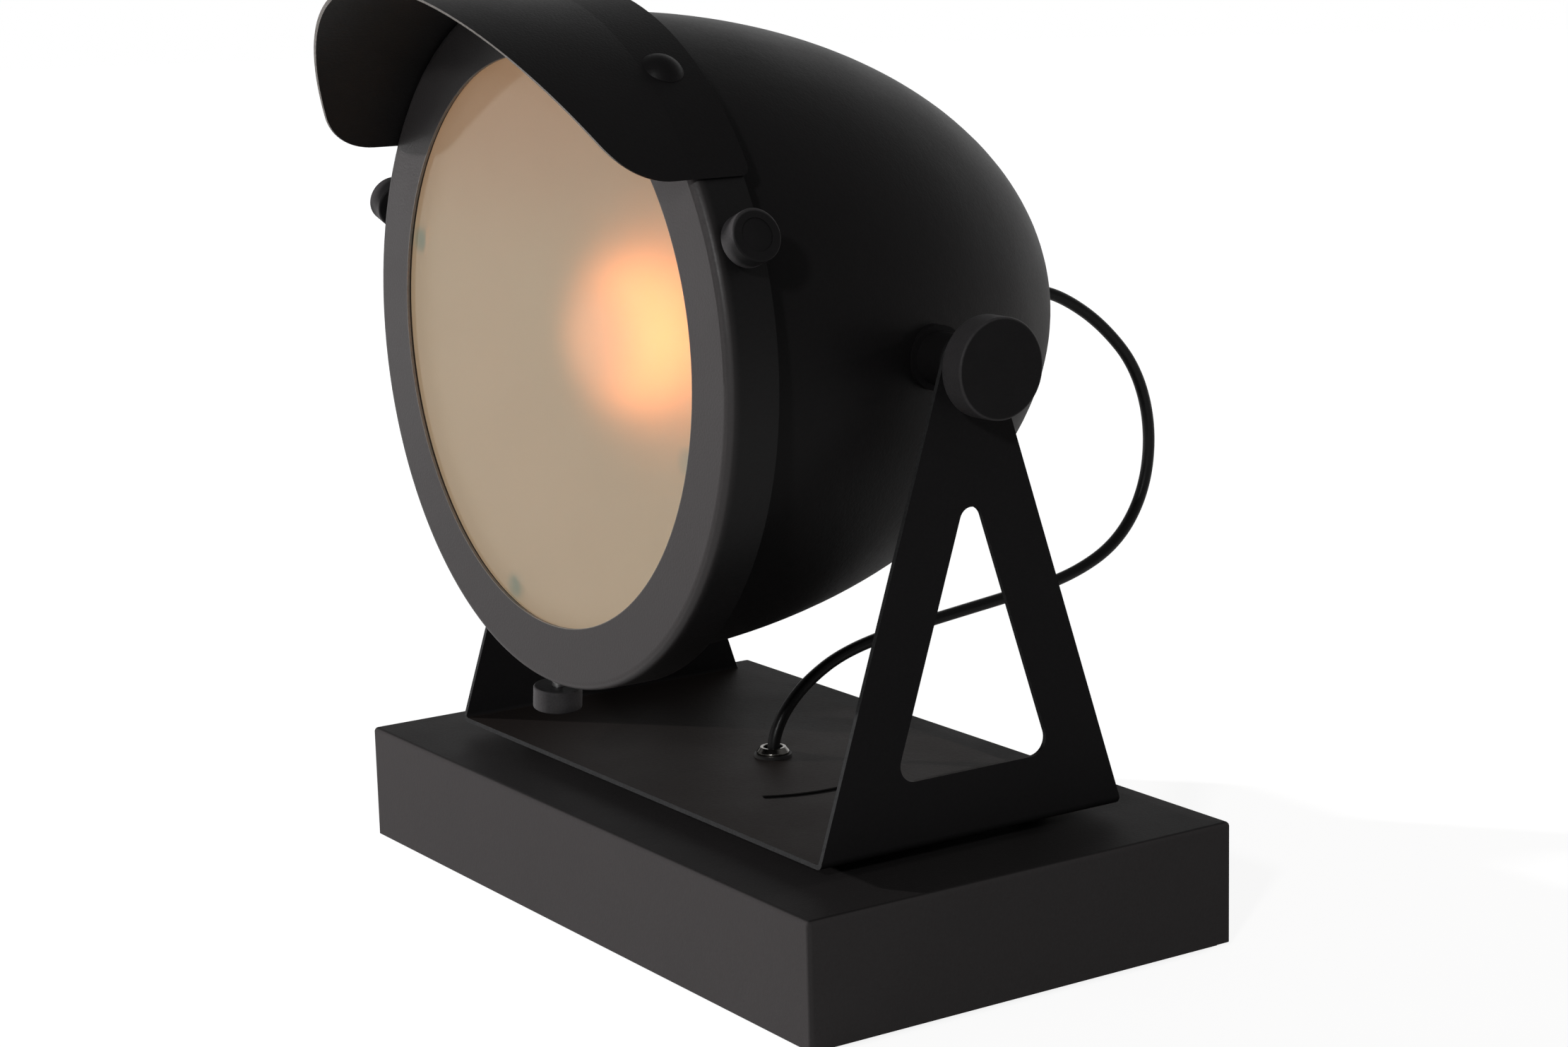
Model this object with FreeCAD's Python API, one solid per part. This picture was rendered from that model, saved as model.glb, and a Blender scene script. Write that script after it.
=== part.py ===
import FreeCAD, Part
import math
import os

# Tabletop searchlight lamp, in millimetres.
# +X is the lamp's right, the glass faces -Y, +Z is up.
# The origin is the middle of the pad's underside, on the table.

V = FreeCAD.Vector
X_AXIS = V(1, 0, 0)
Y_AXIS = V(0, 1, 0)
Z_AXIS = V(0, 0, 1)

# Clearances
running_gap = 0.05      # radial, a shaft that turns in its hole
press_gap = 0.02        # radial, a shank fixed in its knob
face_gap = 0.1          # between faces that turn against each other
hole_gap = 0.3          # radial, a fastener in a plain hole
panel_gap = 0.3         # round a panel that drops into its frame
cut_margin = 1.0        # how far a cut runs past the face it opens

# Rounded edges shared by small turned pieces
soft_edge = 0.8
fine_edge = 0.4

# Base box
base_width = 360.0
base_depth = 208.0
base_height = 51.0
base_sheet = 1.5
base_edge_radius = 2.0
base_post = 12.0
pad_thickness = 2.0
pad_inset = 4.0
bottom_sheet = 1.5
bottom_screw_radius = 2.0
bottom_screw_length = 11.0
bottom_hole_extra = 1.0
inlet_bore = 3.6
inlet_neck = 6.0
inlet_flange = 8.0
inlet_flange_thickness = 2.0

# Yoke, one bent sheet on four studs
yoke_side_gap = 11.2    # from the shell to each side plate
yoke_depth = 148.0
yoke_sheet = 2.0
yoke_bend_radius = 3.5
yoke_rise = 5.0
yoke_foot = 3.0
yoke_top_radius = 12.0
yoke_bar = 25.8
window_sill = 28.0
window_top_radius = 5.5
window_foot_radius = 7.0
slit_width = 1.6
slit_start = (51.5, -39.0)
slit_middle = (58.0, -24.0)
slit_end = (58.5, 6.0)
stud_inset_x = 35.5
stud_inset_y = 19.0
stud_radius = 2.5
stud_reach = 6.0
stud_nut_flats = 8.0
stud_nut_height = 4.0
standoff_radius = 6.0

# Pivot and clamp knobs
under_head_gap = 48.2   # from the bed's underside to the ring on the pivot's level
knob_radius = 20.0
knob_thickness = 12.0
knob_edge = 1.0
knob_hub_radius = 9.0
knob_hub_length = 6.5
knob_washer_radius = 11.0
knob_washer_thickness = 2.3
clamp_stud_radius = 4.0
clamp_stud_in_knob = 14.0
boss_radius = 10.5
boss_flange_radius = 13.0
boss_flange_thickness = 4.0
boss_floor = 2.5
boss_root = 12.0
friction_washer_radius = 12.0
friction_washer_thickness = 1.0

# Head: a spun shell on a level axis
axis_rise = 2.8
glass_plane = 107.8
shell_sheet = 1.2
shell_radius = 132.3
shell_start = 24.6
shell_length = 214.5
shell_rim_start = 7.5

# Front ring with its skirt
ring_sheet = 1.2
ring_face_width = 25.6
skirt_gap = 8.3         # from the shell to the skirt round it
ring_edge_radius = 3.6
ring_depth = 22.4

# Frosted glass, its seal and its spring clips
glass_overlap = 4.8     # how far the glass runs behind the ring
glass_thickness = 3.0
seal_setback = 0.8
seal_thickness = 1.2
clip_angles = (18.0, 108.0, 198.0, 288.0)
clip_width = 12.0
clip_sheet = 0.8
clip_tip_overlap = 11.5
clip_foot_length = 10.0

# Thumb screws through the skirt
thumb_angles = {"right": 69.6, "left": -71.8, "lower": 186.0}
thumb_station = 11.0
thumb_stud_radius = 2.5
thumb_head_radius = 10.3
thumb_head_gap = 5.7    # from the skirt to the screw's head
thumb_head_length = 9.5
thumb_head_edge = 0.8
thumb_recess_radius = 6.5
thumb_recess_depth = 0.5
thumb_stud_in_head = 6.5
thumb_tip_gap = 0.3
weld_nut_radius = 5.5
weld_nut_height = 5.8

# Visor, a flared sheet bolted on the skirt
visor_sheet = 1.2
visor_rear = 25.0
visor_flare = 0.05
visor_side_height = 74.0
visor_lean = 0.588
visor_front_at_side = 26.6
visor_corner_radius = 30.0
visor_rear_corner = 4.0
visor_reach = 90.0
visor_bolt_angle = 37.6
visor_bolt_station = 9.6
visor_bolt_radius = 3.0
visor_bolt_head_radius = 8.3
visor_bolt_head_height = 3.9
visor_bolt_inside = 7.0
visor_nut_flats = 10.0
visor_nut_height = 5.0

# Lamp holder and bulb on a hollow threaded tube
bulb_radius = 30.0
bulb_centre = 52.0
bulb_wall = 1.0
bulb_neck_radius = 13.2
bulb_neck_station = 96.0
bulb_cap_station = 107.0
bulb_cap_radius = 13.8
bulb_cap_length = 24.0
bulb_cap_taper = 3.0
bulb_cap_edge = 1.0
bulb_contact_radius = 4.5
bulb_contact_length = 3.0
holder_start = 104.0
holder_length = 54.0
holder_rim_radius = 20.0
holder_rim_length = 24.0
holder_body_radius = 17.5
holder_bore_depth = 30.3
holder_tail_radius = 10.0
holder_tail_length = 8.0
holder_edge = 1.0
tube_radius = 5.0
tube_bore = 3.5
tube_in_holder = 9.0
tube_nut_flats = 14.0
tube_nut_height = 4.0
tube_nut_seat = 0.5
gland_flange_radius = 9.0
gland_radius = 7.0
gland_flange_thickness = 2.5
gland_length = 5.2
gland_cap_wall = 1.3

# Cord and the collar where it enters the stand
cord_radius = 2.75
cord_hole_gap = 0.2
collar_washer_radius = 8.2
collar_washer_thickness = 1.2
collar_base_radius = 7.2
collar_top_radius = 5.6
collar_height = 3.0
collar_neck_radius = 5.8
collar_bore = 4.2
collar_nut_flats = 15.0
collar_nut_height = 3.2
base_cord_hole = 7.5
lead_bend = 12.0
terminal_length = 36.0
terminal_width = 18.0
terminal_height = 14.0
terminal_y = 40.0
terminal_bore = 1.8
terminal_bore_depth = 6.0
terminal_screw_radius = 1.5
terminal_screw_head = 2.0
terminal_pitch = 5.0
cord_bend_share = 0.45

# The cord's route behind the head, from the gland to the collar, as (x, y, z) from
# the middle of the bed's underside. It follows the gland: the points are for one
# that far back and that far up. The first and last points are worked out.
cord_reach = 136.5
cord_rise = 192.8
cord_points = [
    (0.0, 147.6, 192.8),
    (0.5, 164.5, 186.7),
    (1.5, 184.5, 173.1),
    (2.5, 203.1, 152.3),
    (3.0, 211.6, 124.2),
    (2.5, 208.5, 94.2),
    (2.0, 192.6, 71.0),
    (1.0, 165.2, 58.7),
    (0.0, 132.2, 54.3),
    (-1.0, 98.2, 50.5),
    (-1.5, 64.9, 46.7),
    (-1.0, 38.0, 41.5),
    (-0.5, 20.0, 32.7),
    (0.0, 7.9, 22.6),
    (0.0, 2.1, 13.2),
    (0.0, 0.0, 5.5),
]

# Levels and stations worked out from the sizes above
base_top = pad_thickness + base_height
base_ceiling = base_top - base_sheet
bed_under = base_top + yoke_rise
bed_top = bed_under + yoke_sheet
ring_skirt_inner = shell_radius + skirt_gap
ring_outer_radius = ring_skirt_inner + ring_sheet
ring_inner_radius = ring_outer_radius - ring_face_width
pivot_z = bed_under + ring_outer_radius + under_head_gap
axis_z = pivot_z + axis_rise
ring_y = -glass_plane
plate_inner = shell_radius + yoke_side_gap
plate_outer = plate_inner + yoke_sheet
stud_x = plate_outer - stud_inset_x
stud_y = yoke_depth / 2 - stud_inset_y
glass_radius = ring_inner_radius + glass_overlap
seal_inner_radius = ring_inner_radius + seal_setback
clip_tip_radius = glass_radius - clip_tip_overlap
clip_foot_radius = glass_radius + clip_foot_length
thumb_head_start = ring_outer_radius + thumb_head_gap
visor_bolt_tip = ring_skirt_inner - visor_bolt_inside
seal_back = ring_sheet + seal_thickness
glass_back = seal_back + glass_thickness
shell_end = shell_start + shell_length
gland_end = shell_end + gland_length
collar_bottom = bed_top + collar_washer_thickness
collar_top = collar_bottom + collar_height
HEAD = V(0, ring_y, axis_z)


def corner(before, at, after, radius):
    """Start, middle and end of the arc that rounds one corner."""
    back = (before - at).normalize()
    ahead = (after - at).normalize()
    half = back.getAngle(ahead) / 2
    cut = radius / math.tan(half)
    inward = (back + ahead).normalize()
    middle = at + inward * (radius / math.sin(half) - radius)
    return at + back * cut, middle, at + ahead * cut


def rounded_wire(points, radii, closed=True):
    """Straight runs joined by tangent arcs. A radius of 0 leaves a corner sharp."""
    count = len(points)
    stops = []
    for i, point in enumerate(points):
        is_end = not closed and i in (0, count - 1)
        if is_end or radii[i] == 0:
            stops.append((point, None, point))
        else:
            stops.append(corner(points[i - 1], point, points[(i + 1) % count], radii[i]))
    edges = []
    for i, (start, middle, end) in enumerate(stops):
        if middle is not None:
            edges.append(Part.Arc(start, middle, end).toShape())
        if closed or i < count - 1:
            following = stops[(i + 1) % count][0]
            if (following - end).Length > 1e-6:
                edges.append(Part.LineSegment(end, following).toShape())
    return Part.Wire(edges)


def rounded_face(points, radii=None):
    return Part.Face(rounded_wire(points, radii or [0] * len(points)))


def side_of(direction):
    """A steady direction square to the one given."""
    if abs(direction.dot(Y_AXIS)) > 0.5:
        return Z_AXIS
    return Y_AXIS


def turned(origin, direction, profile, radii=None):
    """A turned piece: profile gives (distance along the axis, radius)."""
    out = side_of(direction)
    points = [origin + direction * along + out * radius for along, radius in profile]
    return rounded_face(points, radii).revolve(origin, direction, 360)


def rod(origin, direction, start, end, radius):
    return Part.makeCylinder(radius, end - start, origin + direction * start, direction)


def tube(origin, direction, start, end, radius, bore):
    return rod(origin, direction, start, end, radius).cut(rod(origin, direction, start, end, bore))


def hexagon(origin, direction, start, end, flats, bore):
    """A hexagon nut with a round bore."""
    out = side_of(direction)
    across = out.cross(direction)
    reach = flats / 2 / math.cos(math.pi / 6)
    corners = []
    for i in range(6):
        angle = math.radians(60 * i)
        spoke = out * math.cos(angle) + across * math.sin(angle)
        corners.append(origin + direction * start + spoke * reach)
    nut = rounded_face(corners).extrude(direction * (end - start))
    return nut.cut(rod(origin, direction, start, end, bore))


def block(x0, x1, y0, y1, z0, z1):
    return Part.makeBox(x1 - x0, y1 - y0, z1 - z0, V(x0, y0, z0))


def radial(angle):
    """Direction out from the head's axis, angle from the top towards +X."""
    turn = math.radians(angle)
    return V(math.sin(turn), 0, math.cos(turn))


def head_point(station, angle=0.0, radius=0.0):
    """A point of the head: station is the distance behind the ring's front face."""
    return HEAD + Y_AXIS * station + radial(angle) * radius


def spun(profile, radii=None):
    """A piece spun about the head's axis: profile gives (station, radius)."""
    return turned(HEAD, Y_AXIS, profile, radii)


def half_ellipsoid(radius, length):
    """The shell's bullet shape as a solid, from the shell's widest station back."""
    centre = head_point(shell_start)
    tip = centre + Y_AXIS * length
    top = centre + Z_AXIS * radius
    curve = Part.Arc(Part.Ellipse(tip, top, centre), 0, math.pi / 2).toShape()
    outline = Part.Wire([curve, Part.LineSegment(top, centre).toShape(), Part.LineSegment(centre, tip).toShape()])
    return Part.Face(outline).revolve(HEAD, Y_AXIS, 360)


def swept_cord(points, radii, radius):
    """A round cord along straight runs and tangent arcs."""
    path = rounded_wire(points, radii, closed=False)
    heading = (points[1] - points[0]).normalize()
    section = Part.Wire(Part.makeCircle(radius, points[0], heading))
    body = path.makePipeShell([section], True, False)
    ratio = body.Volume / (math.pi * radius ** 2 * path.Length)
    print("cord length %.1f mm, volume ratio %.4f" % (path.Length, ratio))
    return body


def four_places(x, y):
    return [(sx * x, sy * y) for sx in (-1, 1) for sy in (-1, 1)]


# Base

def post_places():
    inset = base_sheet + base_post / 2
    return four_places(base_width / 2 - inset, base_depth / 2 - inset)


def make_pad():
    half_x = base_width / 2 - pad_inset
    half_y = base_depth / 2 - pad_inset
    return block(-half_x, half_x, -half_y, half_y, 0, pad_thickness)


def make_housing():
    half_x = base_width / 2
    half_y = base_depth / 2
    outside = block(-half_x, half_x, -half_y, half_y, pad_thickness, base_top)
    edges = [e for e in outside.Edges if e.BoundBox.ZMax > base_top - 1e-6]
    outside = outside.makeFillet(base_edge_radius, edges)
    inner_x = half_x - base_sheet
    inner_y = half_y - base_sheet
    housing = outside.cut(block(-inner_x, inner_x, -inner_y, inner_y, pad_thickness, base_ceiling))
    plate_top = pad_thickness + bottom_sheet
    for x, y in post_places():
        half = base_post / 2
        post = block(x - half, x + half, y - half, y + half, plate_top, base_ceiling)
        housing = housing.fuse(post)
    housing = housing.removeSplitter()
    hole_top = pad_thickness + bottom_screw_length + bottom_hole_extra
    for x, y in post_places():
        housing = housing.cut(rod(V(x, y, 0), Z_AXIS, plate_top, hole_top, bottom_screw_radius + press_gap))
    for x, y in four_places(stud_x, stud_y):
        housing = housing.cut(rod(V(x, y, 0), Z_AXIS, base_ceiling, base_top, stud_radius + hole_gap))
    housing = housing.cut(rod(V(0, 0, 0), Z_AXIS, base_ceiling, base_top, base_cord_hole))
    screw_hole = rod(V(0, terminal_y, 0), Z_AXIS, base_ceiling, base_top, terminal_screw_radius + press_gap)
    housing = housing.cut(screw_hole)
    wall_hole = rod(inlet_point(), Y_AXIS, -base_sheet, 0, inlet_neck + press_gap)
    return housing.cut(wall_hole)


def inlet_point():
    """Centre of the mains inlet on the outside of the rear wall."""
    return V(0, base_depth / 2, pad_thickness + base_height / 2)


def make_inlet_bush():
    profile = [
        (-base_sheet - inlet_flange_thickness, inlet_bore),
        (-base_sheet - inlet_flange_thickness, inlet_flange),
        (-base_sheet, inlet_flange),
        (-base_sheet, inlet_neck),
        (0, inlet_neck),
        (0, inlet_flange),
        (inlet_flange_thickness, inlet_flange),
        (inlet_flange_thickness, inlet_bore),
    ]
    return turned(inlet_point(), Y_AXIS, profile, [0, 0, 0, 0, 0, 0, soft_edge, 0])


def screw_sink(x, y):
    """The flush screw head's cone, from the plate's underside up."""
    head = 2 * bottom_screw_radius
    return Part.makeCone(head, bottom_screw_radius, bottom_sheet, V(x, y, pad_thickness), Z_AXIS)


def make_bottom_plate():
    half_x = base_width / 2 - base_sheet - panel_gap
    half_y = base_depth / 2 - base_sheet - panel_gap
    plate = block(-half_x, half_x, -half_y, half_y, pad_thickness, pad_thickness + bottom_sheet)
    for x, y in post_places():
        plate = plate.cut(screw_sink(x, y))
    return plate


def make_bottom_screws():
    screws = []
    for x, y in post_places():
        start = pad_thickness + bottom_sheet
        shank = rod(V(x, y, 0), Z_AXIS, start, pad_thickness + bottom_screw_length, bottom_screw_radius)
        screws.append(screw_sink(x, y).fuse(shank).removeSplitter())
    return screws


def make_terminal_block():
    bottom = base_ceiling - terminal_height
    half_x = terminal_length / 2
    half_y = terminal_width / 2
    body = block(-half_x, half_x, terminal_y - half_y, terminal_y + half_y, bottom, base_ceiling)
    middle_z = base_ceiling - terminal_height / 2
    for step in (-1, 1):
        for row in (1, 2):
            x = step * row * terminal_pitch
            across = rod(V(x, terminal_y + half_y, middle_z), Y_AXIS, -terminal_bore_depth, 0, terminal_bore)
            well = rod(V(x, terminal_y, 0), Z_AXIS, bottom, middle_z, terminal_bore)
            body = body.cut(across).cut(well)
    return body.cut(rod(V(0, terminal_y, 0), Z_AXIS, bottom, base_ceiling, terminal_screw_radius + hole_gap))


def make_terminal_screw():
    bottom = base_ceiling - terminal_height
    head = rod(V(0, terminal_y, 0), Z_AXIS, bottom - terminal_screw_head, bottom, 2 * terminal_screw_radius)
    return head.fuse(rod(V(0, terminal_y, 0), Z_AXIS, bottom, base_top, terminal_screw_radius)).removeSplitter()


# Yoke

def yoke_side_outline(offset, foot_z):
    """Edge of a side plate moved inwards by offset, as half width at foot_z and at the top."""
    foot = V(0, yoke_depth / 2, bed_under + yoke_foot)
    centre = V(0, 0, pivot_z)
    span = foot - centre
    lean = math.atan2(span.y, -span.z) - math.asin(yoke_top_radius / span.Length)
    apex_z = foot.z + foot.y / math.tan(lean) - offset / math.sin(lean)
    half_foot = (apex_z - foot_z) * math.tan(lean)
    return half_foot, apex_z, lean


def make_window(x0, x1):
    sill_z = bed_under + window_sill
    half_foot, apex_z, lean = yoke_side_outline(yoke_bar, sill_z)
    points = [V(x0, -half_foot, sill_z), V(x0, half_foot, sill_z), V(x0, 0, apex_z)]
    face = rounded_face(points, [window_foot_radius, window_foot_radius, window_top_radius])
    return face.extrude(V(x1 - x0, 0, 0))


def make_yoke():
    half = plate_outer
    top = pivot_z + yoke_top_radius
    outer = yoke_bend_radius
    inner = yoke_bend_radius - yoke_sheet
    y0 = -yoke_depth / 2
    section = [
        V(-half, y0, top),
        V(-half, y0, bed_under),
        V(half, y0, bed_under),
        V(half, y0, top),
        V(half - yoke_sheet, y0, top),
        V(half - yoke_sheet, y0, bed_top),
        V(-half + yoke_sheet, y0, bed_top),
        V(-half + yoke_sheet, y0, top),
    ]
    channel = rounded_face(section, [0, outer, outer, 0, 0, inner, inner, 0]).extrude(V(0, yoke_depth, 0))
    lean = yoke_side_outline(0, bed_under)[2]
    touch_y = yoke_top_radius * math.cos(lean)
    touch_z = pivot_z + yoke_top_radius * math.sin(lean)
    foot_z = bed_under + yoke_foot
    x0 = -half - cut_margin
    low_left = V(x0, y0, bed_under - cut_margin)
    low_right = V(x0, -y0, bed_under - cut_margin)
    edges = [
        Part.LineSegment(low_left, low_right),
        Part.LineSegment(low_right, V(x0, -y0, foot_z)),
        Part.LineSegment(V(x0, -y0, foot_z), V(x0, touch_y, touch_z)),
        Part.Arc(V(x0, touch_y, touch_z), V(x0, 0, top), V(x0, -touch_y, touch_z)),
        Part.LineSegment(V(x0, -touch_y, touch_z), V(x0, y0, foot_z)),
        Part.LineSegment(V(x0, y0, foot_z), low_left),
    ]
    outline = Part.Face(Part.Wire([edge.toShape() for edge in edges]))
    yoke = channel.common(outline.extrude(V(-2 * x0, 0, 0)))
    yoke = yoke.cut(make_window(x0, -x0))
    pivot_hole = rod(V(0, 0, pivot_z), X_AXIS, x0, -x0, clamp_stud_radius + hole_gap)
    yoke = yoke.cut(pivot_hole)
    yoke = yoke.cut(rod(V(0, 0, 0), Z_AXIS, bed_under, bed_top, collar_neck_radius + running_gap))
    return yoke.cut(make_slit())


def make_slit():
    """The narrow curved slit beside the right side plate."""
    points = [V(x, y, bed_under) for x, y in (slit_start, slit_middle, slit_end)]
    spine = Part.Wire(Part.Arc(*points).toShape())
    heading = spine.Edges[0].tangentAt(spine.Edges[0].FirstParameter)
    across = heading.cross(Z_AXIS).normalize() * (slit_width / 2)
    corners = [points[0] - across, points[0] + across]
    corners += [corner_point + Z_AXIS * yoke_sheet for corner_point in reversed(corners)]
    section = Part.makePolygon(corners + [corners[0]])
    return spine.makePipeShell([section], True, False)


def make_studs():
    low = base_ceiling - stud_reach
    return [rod(V(x, y, 0), Z_AXIS, low, bed_under, stud_radius) for x, y in four_places(stud_x, stud_y)]


def make_standoffs():
    bore = stud_radius + running_gap
    places = four_places(stud_x, stud_y)
    return [tube(V(x, y, 0), Z_AXIS, base_top, bed_under, standoff_radius, bore) for x, y in places]


def make_stud_nuts():
    low = base_ceiling - stud_nut_height
    bore = stud_radius + running_gap
    places = four_places(stud_x, stud_y)
    return [hexagon(V(x, y, 0), Z_AXIS, low, base_ceiling, stud_nut_flats, bore) for x, y in places]


# Cord collar and cords

def make_collar_washer():
    return tube(V(0, 0, 0), Z_AXIS, bed_top, collar_bottom, collar_washer_radius, collar_neck_radius + running_gap)


def make_collar():
    low = bed_under - collar_nut_height
    profile = [
        (low, collar_bore),
        (low, collar_neck_radius),
        (collar_bottom, collar_neck_radius),
        (collar_bottom, collar_base_radius),
        (collar_bottom + collar_height / 3, collar_base_radius),
        (collar_top, collar_top_radius),
        (collar_top, collar_bore),
    ]
    return turned(V(0, 0, 0), Z_AXIS, profile, [0, 0, 0, 0, soft_edge, fine_edge, fine_edge])


def make_collar_nut():
    low = bed_under - collar_nut_height
    return hexagon(V(0, 0, 0), Z_AXIS, low, bed_under, collar_nut_flats, collar_neck_radius + running_gap)


def cord_route():
    start = head_point(gland_end)
    end = V(0, 0, bed_under)
    back = start.y / cord_reach
    rise = (start.z - end.z) / cord_rise
    return [start] + [V(x, y * back, end.z + z * rise) for x, y, z in cord_points] + [end]


def make_head_cord():
    route = cord_route()
    radii = [0]
    for i in range(1, len(route) - 1):
        back = route[i - 1] - route[i]
        ahead = route[i + 1] - route[i]
        half_turn = (math.pi - back.getAngle(ahead)) / 2
        radii.append(cord_bend_share * min(back.Length, ahead.Length) / math.tan(half_turn))
    radii.append(0)
    print("cord bends", [round(radius, 1) for radius in radii[1:-1]])
    return swept_cord(route, radii, cord_radius)


def make_base_lead():
    middle_z = base_ceiling - terminal_height / 2
    points = [V(0, 0, bed_under), V(0, 0, middle_z), V(0, terminal_y - terminal_width / 2, middle_z)]
    return swept_cord(points, [0, lead_bend, 0], cord_radius)


def make_holder_lead():
    start = holder_start + holder_length - tube_in_holder
    return rod(HEAD, Y_AXIS, start, gland_end, cord_radius)


# Pivots and clamp knobs, on either side of the head

def pivot_origin():
    return V(0, 0, pivot_z)


def boss_end():
    return plate_inner - face_gap - friction_washer_thickness


def stud_tip():
    """Inner end of the clamp stud, just short of the boss's floor."""
    return shell_width_at_pivot() + boss_floor + face_gap


def shell_width_at_pivot():
    share = (glass_plane - shell_start) / shell_length
    return shell_radius * math.sqrt(1 - share ** 2)


def make_boss(side):
    direction = X_AXIS * side
    origin = pivot_origin()
    flange_end = shell_width_at_pivot() + boss_flange_thickness
    start = flange_end - boss_root
    boss = rod(origin, direction, start, flange_end, boss_flange_radius)
    boss = boss.fuse(rod(origin, direction, start, boss_end(), boss_radius)).removeSplitter()
    boss = boss.cut(half_ellipsoid(shell_radius, shell_length))
    bore_start = shell_width_at_pivot() + boss_floor
    return boss.cut(rod(origin, direction, bore_start, boss_end(), clamp_stud_radius + running_gap))


def make_friction_washer(side):
    start = boss_end()
    bore = clamp_stud_radius + hole_gap
    direction = X_AXIS * side
    return tube(pivot_origin(), direction, start, start + friction_washer_thickness, friction_washer_radius, bore)


def knob_start():
    return plate_outer + knob_washer_thickness + face_gap


def make_knob_washer(side):
    start = plate_outer
    bore = clamp_stud_radius + hole_gap
    direction = X_AXIS * side
    return tube(pivot_origin(), direction, start, start + knob_washer_thickness, knob_washer_radius, bore)


def make_knob(side):
    start = knob_start()
    disc_start = start + knob_hub_length
    end = disc_start + knob_thickness
    hole = clamp_stud_radius + press_gap
    floor = start + clamp_stud_in_knob
    profile = [
        (start, hole),
        (start, knob_hub_radius),
        (disc_start, knob_hub_radius),
        (disc_start, knob_radius),
        (end, knob_radius),
        (end, 0),
        (floor, 0),
        (floor, hole),
    ]
    return turned(pivot_origin(), X_AXIS * side, profile, [0, 0, 0, knob_edge, knob_edge, 0, 0, 0])


def make_clamp_stud(side):
    end = knob_start() + clamp_stud_in_knob - press_gap
    return rod(pivot_origin(), X_AXIS * side, stud_tip(), end, clamp_stud_radius)


# Head shell and what it carries

def make_shell():
    outside = rod(HEAD, Y_AXIS, shell_rim_start, shell_start, shell_radius)
    outside = outside.fuse(half_ellipsoid(shell_radius, shell_length)).removeSplitter()
    inside = rod(HEAD, Y_AXIS, shell_rim_start, shell_start, shell_radius - shell_sheet)
    inside = inside.fuse(half_ellipsoid(shell_radius - shell_sheet, shell_length - shell_sheet)).removeSplitter()
    shell = outside.cut(inside)
    return shell.cut(rod(HEAD, Y_AXIS, shell_end - 2 * shell_sheet, shell_end, tube_radius + running_gap))


def make_tube():
    start = holder_start + holder_length - tube_in_holder
    return tube(HEAD, Y_AXIS, start, gland_end - gland_cap_wall - face_gap, tube_radius, tube_bore)


def make_tube_nut():
    end = shell_end - shell_sheet - tube_nut_seat
    return hexagon(HEAD, Y_AXIS, end - tube_nut_height, end, tube_nut_flats, tube_radius + running_gap)


def make_gland():
    flange_end = shell_end + gland_flange_thickness
    start = shell_end - 2 * gland_flange_thickness
    body = rod(HEAD, Y_AXIS, start, flange_end, gland_flange_radius)
    body = body.fuse(rod(HEAD, Y_AXIS, start, gland_end, gland_radius)).removeSplitter()
    body = body.cut(half_ellipsoid(shell_radius, shell_length))
    thread = rod(HEAD, Y_AXIS, start, gland_end - gland_cap_wall, tube_radius + running_gap)
    mouth = rod(HEAD, Y_AXIS, start, gland_end, cord_radius + cord_hole_gap)
    return body.cut(thread).cut(mouth)


def make_holder():
    rim_end = holder_start + holder_rim_length
    end = holder_start + holder_length
    tail_start = end - holder_tail_length
    floor = holder_start + holder_bore_depth
    bore = bulb_cap_radius + running_gap
    tube_start = end - tube_in_holder
    tube_hole = tube_radius + running_gap
    profile = [
        (holder_start, bore),
        (holder_start, holder_rim_radius),
        (rim_end, holder_rim_radius),
        (rim_end, holder_body_radius),
        (tail_start, holder_body_radius),
        (end, holder_tail_radius),
        (end, tube_hole),
        (tube_start, tube_hole),
        (tube_start, 0),
        (floor, 0),
        (floor, bore),
    ]
    edge = holder_edge
    return spun(profile, [0, edge, edge, 0, 2 * edge, edge, 0, 0, 0, 0, 0])


def make_bulb_cap():
    start = bulb_cap_station
    end = start + bulb_cap_length
    profile = [
        (start, 0),
        (start, bulb_cap_radius),
        (end - bulb_cap_taper, bulb_cap_radius),
        (end, bulb_contact_radius),
        (end + bulb_contact_length, bulb_contact_radius),
        (end + bulb_contact_length, 0),
    ]
    return spun(profile, [0, 0, bulb_cap_edge, 0, bulb_cap_edge, 0])


def bulb_solid(shrink):
    """The envelope's shape, drawn in by shrink: a ball that narrows to a neck."""
    ball = bulb_radius - shrink
    neck = bulb_neck_radius - shrink
    bend_radius = bulb_radius + shrink
    reach_r = neck + bend_radius
    reach_s = math.sqrt((ball + bend_radius) ** 2 - reach_r ** 2)
    share = ball / (ball + bend_radius)
    centre = HEAD + Y_AXIS * bulb_centre
    bend = centre + Y_AXIS * reach_s + Z_AXIS * reach_r
    tip = centre - Y_AXIS * ball
    crown = centre + Z_AXIS * ball
    meet = centre + (bend - centre) * share
    neck_start = bend - Z_AXIS * bend_radius
    lean = math.atan2((bend - meet).y, (bend - meet).z) / 2
    bend_middle = bend - V(0, math.sin(lean), math.cos(lean)) * bend_radius
    neck_end = V(0, ring_y + bulb_cap_station, neck_start.z)
    foot = V(0, ring_y + bulb_cap_station, axis_z)
    edges = [
        Part.Arc(tip, crown, meet),
        Part.Arc(meet, bend_middle, neck_start),
        Part.LineSegment(neck_start, neck_end),
        Part.LineSegment(neck_end, foot),
        Part.LineSegment(foot, tip),
    ]
    return Part.Face(Part.Wire([edge.toShape() for edge in edges])).revolve(HEAD, Y_AXIS, 360)


def make_bulb_glass():
    return bulb_solid(0).cut(bulb_solid(bulb_wall))


# Front ring, glass and visor

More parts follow.
